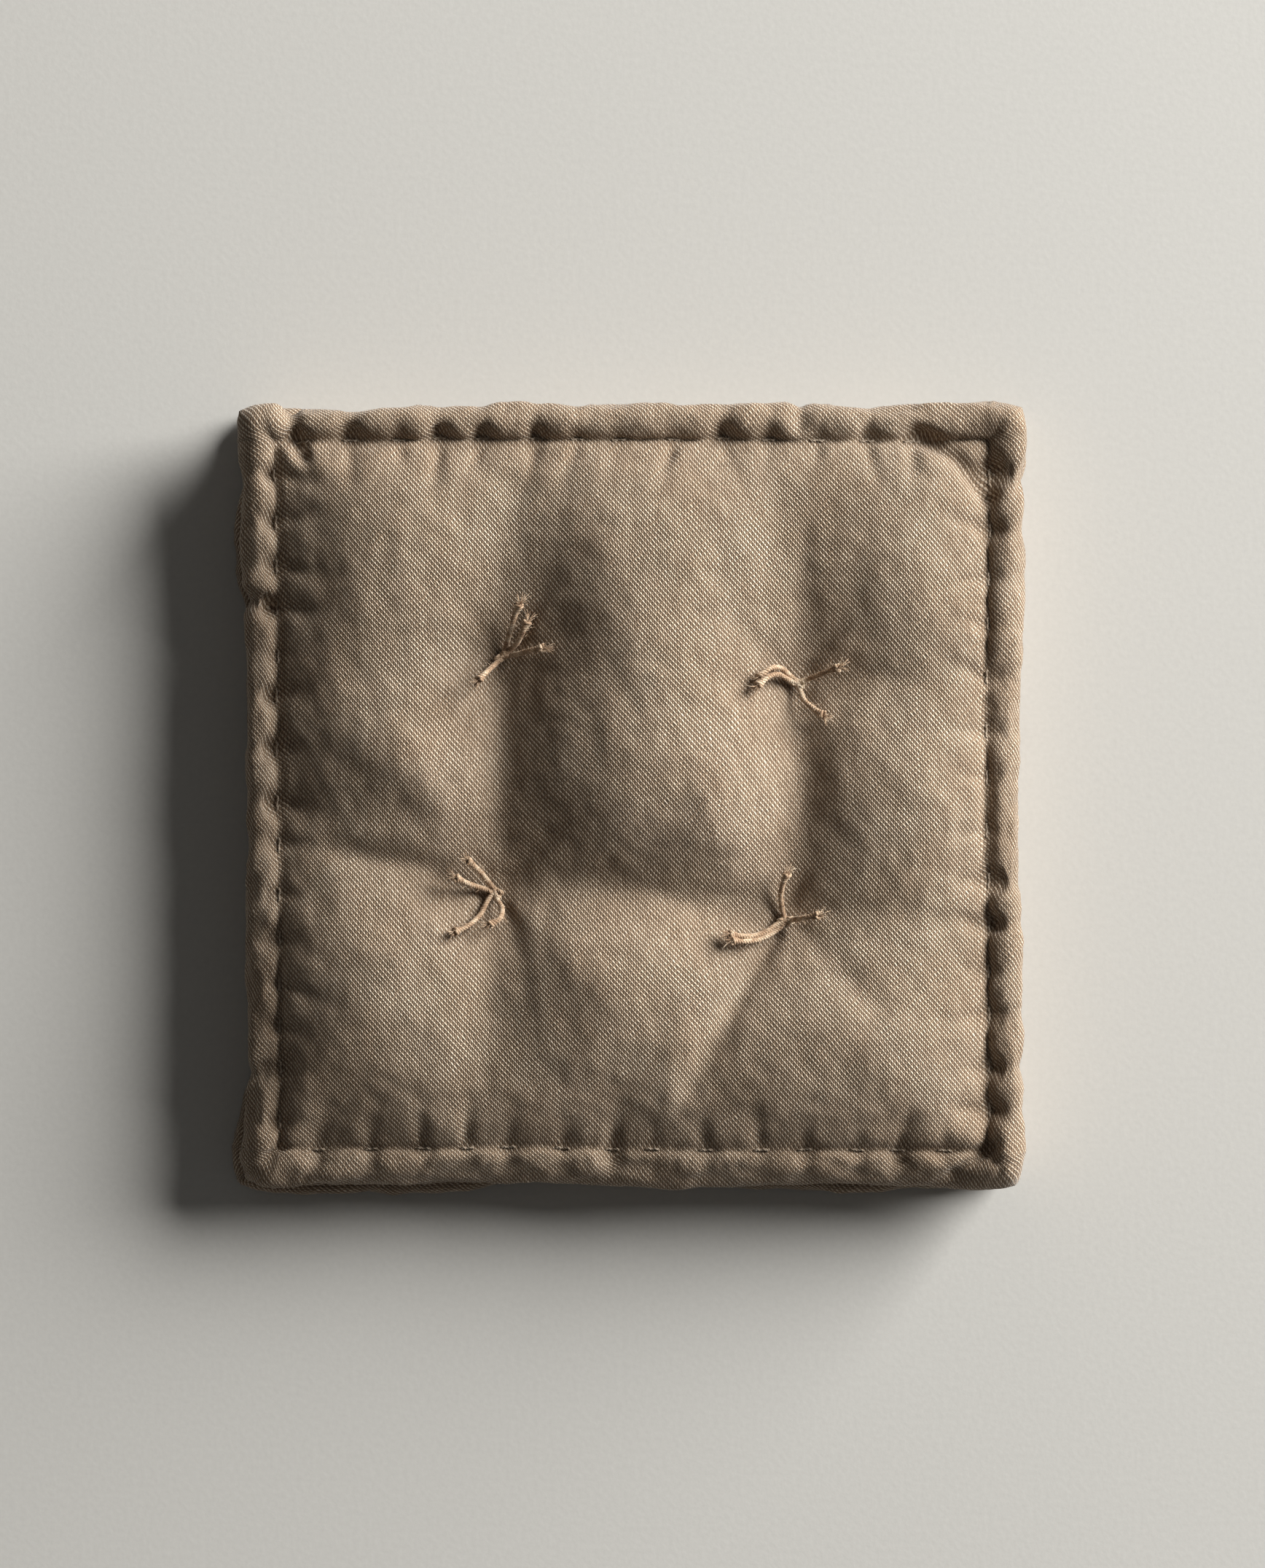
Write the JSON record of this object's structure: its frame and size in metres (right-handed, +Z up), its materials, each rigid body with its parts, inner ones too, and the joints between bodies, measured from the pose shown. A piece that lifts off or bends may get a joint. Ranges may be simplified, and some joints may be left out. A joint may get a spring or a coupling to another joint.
{
  "type": "floor cushion",
  "caption": "Square box floor cushion with rolled, hand-stitched edges top and bottom, tufted through with knotted jute twine.",
  "frame": {"origin": "on the floor, under the middle of the cushion", "axes": "+Z up out of the tufted top, +X to the right and +Y to the back as the cushion is seen from above"},
  "size_m": [0.466, 0.458, 0.086],
  "materials": {
    "cover_cloth": "coarse slubby plain weave, greige, matt",
    "filling": "carded cotton and wool filling, matt",
    "jute_twine": "twisted jute twine, frayed at its cut ends",
    "stitch_thread": "waxed linen stitching twine"
  },
  "bodies": {
    "root": {"top_panel": "cover_cloth", "bottom_panel": "cover_cloth", "side_panel_front": "cover_cloth", "side_panel_right": "cover_cloth", "side_panel_back": "cover_cloth", "side_panel_left": "cover_cloth", "upper_wadding": "filling", "core_filling": "filling", "lower_wadding": "filling", "edge_roll_top_front": "filling", "edge_roll_top_right": "filling", "edge_roll_top_back": "filling", "edge_roll_top_left": "filling", "edge_roll_bottom_front": "filling", "edge_roll_bottom_right": "filling", "edge_roll_bottom_back": "filling", "edge_roll_bottom_left": "filling", "edge_stitch_top_front": "stitch_thread", "edge_stitch_top_right": "stitch_thread", "edge_stitch_top_back": "stitch_thread", "edge_stitch_top_left": "stitch_thread", "edge_stitch_bottom_front": "stitch_thread", "edge_stitch_bottom_right": "stitch_thread", "edge_stitch_bottom_back": "stitch_thread", "edge_stitch_bottom_left": "stitch_thread", "back_left_tie": "jute_twine", "back_left_knot": "jute_twine", "back_left_tail_a": "jute_twine", "back_left_tail_b": "jute_twine", "back_left_tail_c": "jute_twine", "back_left_tail_d": "jute_twine", "back_right_tie": "jute_twine", "back_right_knot": "jute_twine", "back_right_tail_a": "jute_twine", "back_right_tail_b": "jute_twine", "back_right_tail_c": "jute_twine", "back_right_tail_d": "jute_twine", "front_left_tie": "jute_twine", "front_left_knot": "jute_twine", "front_left_tail_a": "jute_twine", "front_left_tail_b": "jute_twine", "front_left_tail_c": "jute_twine", "front_left_tail_d": "jute_twine", "front_right_tie": "jute_twine", "front_right_knot": "jute_twine", "front_right_tail_a": "jute_twine", "front_right_tail_b": "jute_twine", "front_right_tail_c": "jute_twine", "front_right_tail_d": "jute_twine"}
  },
  "joints": []
}
